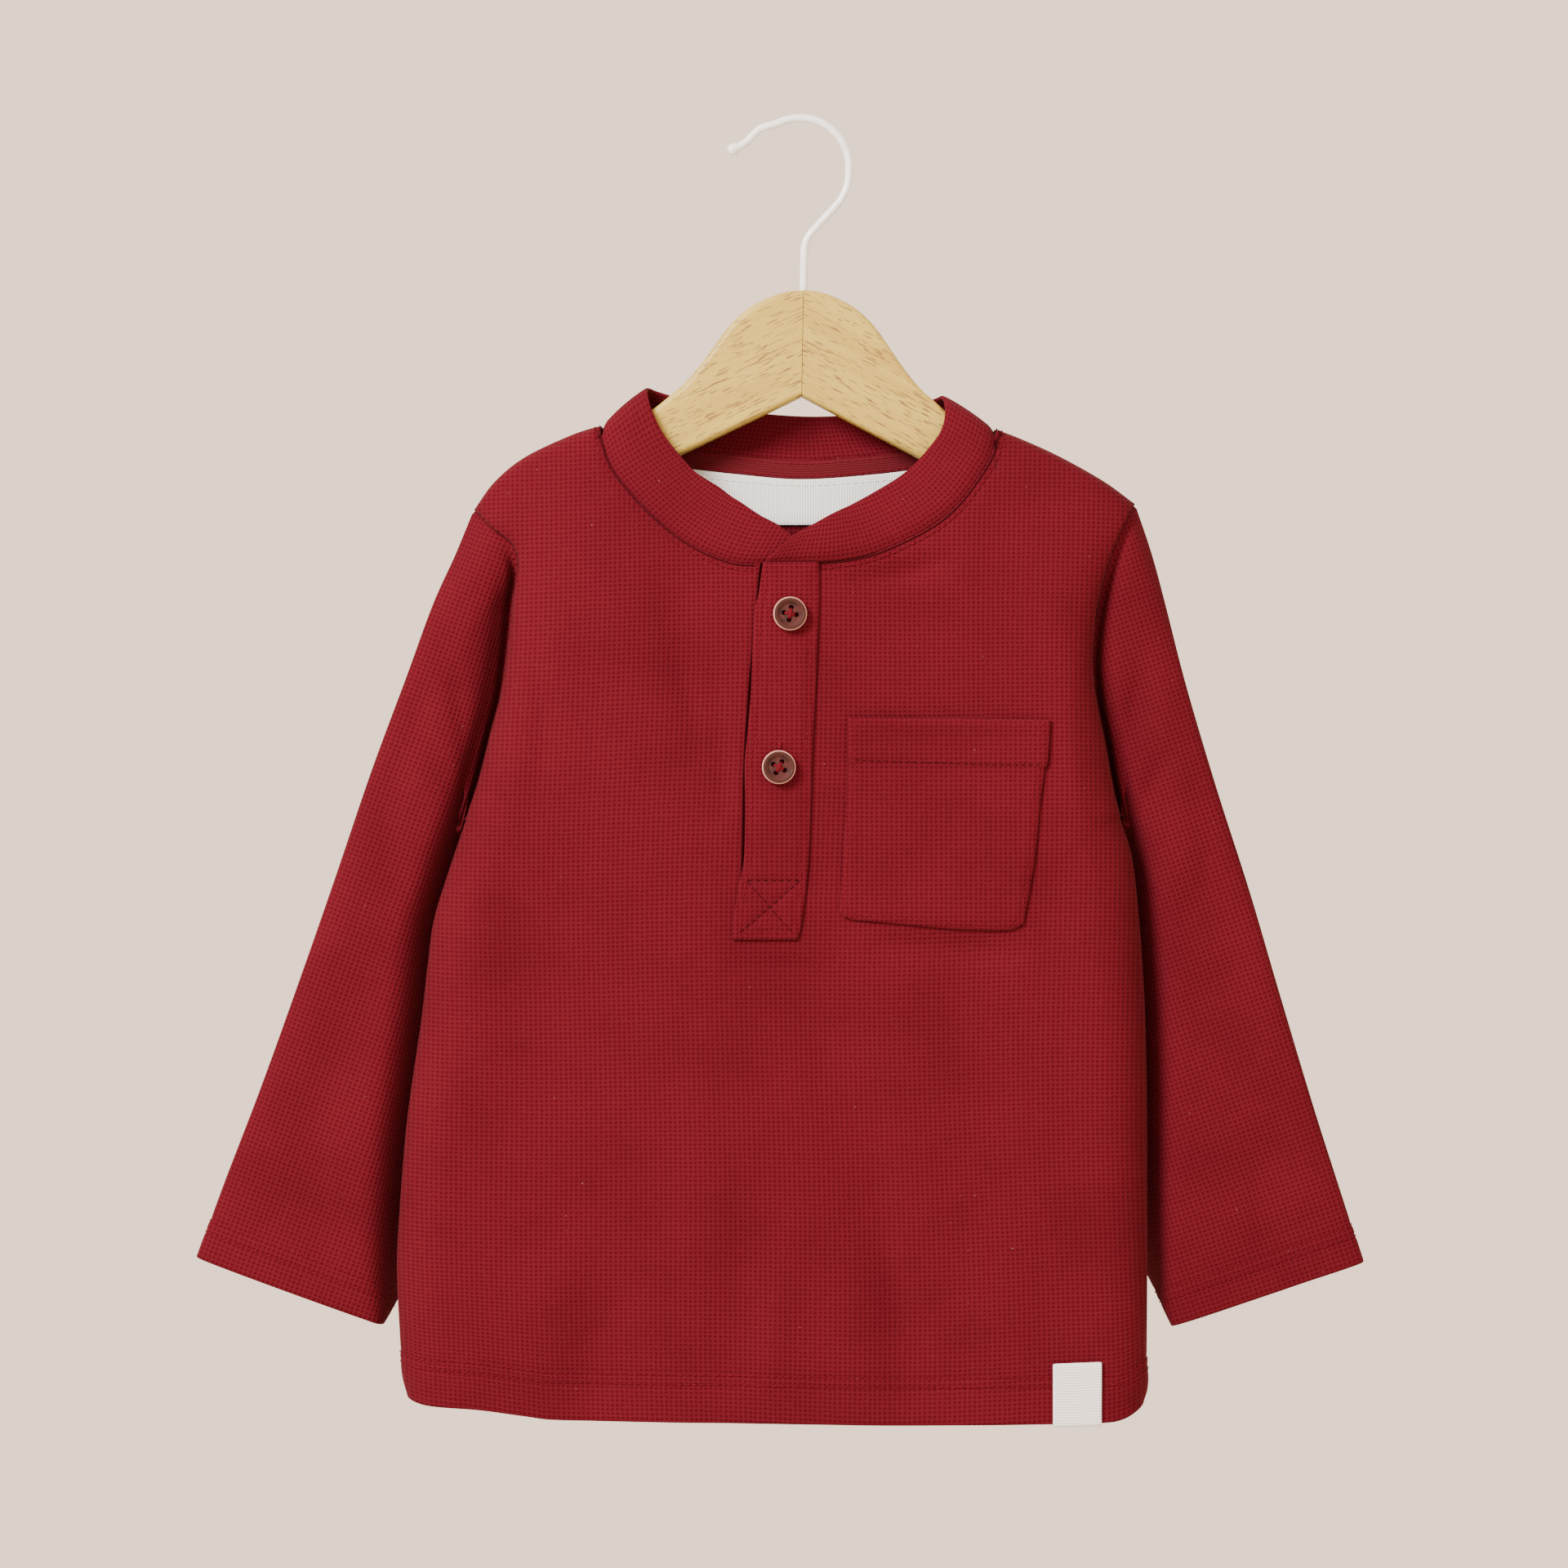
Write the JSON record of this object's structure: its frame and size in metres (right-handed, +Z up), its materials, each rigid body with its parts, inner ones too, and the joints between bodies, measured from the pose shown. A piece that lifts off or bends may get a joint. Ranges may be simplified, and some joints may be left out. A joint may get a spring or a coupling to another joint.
{
  "type": "toddler's long-sleeved henley top on a wooden hanger",
  "caption": "Long-sleeved band-collar top with a buttoned placket, chest patch pocket and hem label, hung on a wooden hanger with a wire hook.",
  "frame": {"origin": "inner top of the hook's bend, where the hanger hangs on a rod or a nail", "axes": "+Z up, front of the garment towards -Y, +X towards the viewer's right"},
  "size_m": [0.4423, 0.0495, 0.4962],
  "materials": {
    "knit": "matte cotton waffle knit",
    "tape": "smooth woven tape",
    "label": "woven ribbed label, bare",
    "button": "satin, with a pale rim",
    "wood": "clear satin lacquer",
    "wire": "white gloss"
  },
  "bodies": {
    "root": {"front": "knit", "back": "knit", "sleeve_left": "knit", "sleeve_right": "knit", "collar": "knit", "placket": "knit", "placket_under": "knit", "pocket": "knit", "neck_tape": "tape", "neck_label": "label", "hem_label": "label", "button_upper": "button", "button_lower": "button", "hanger_arm_left": "wood", "hanger_arm_right": "wood", "hook": "wire"}
  },
  "joints": []
}
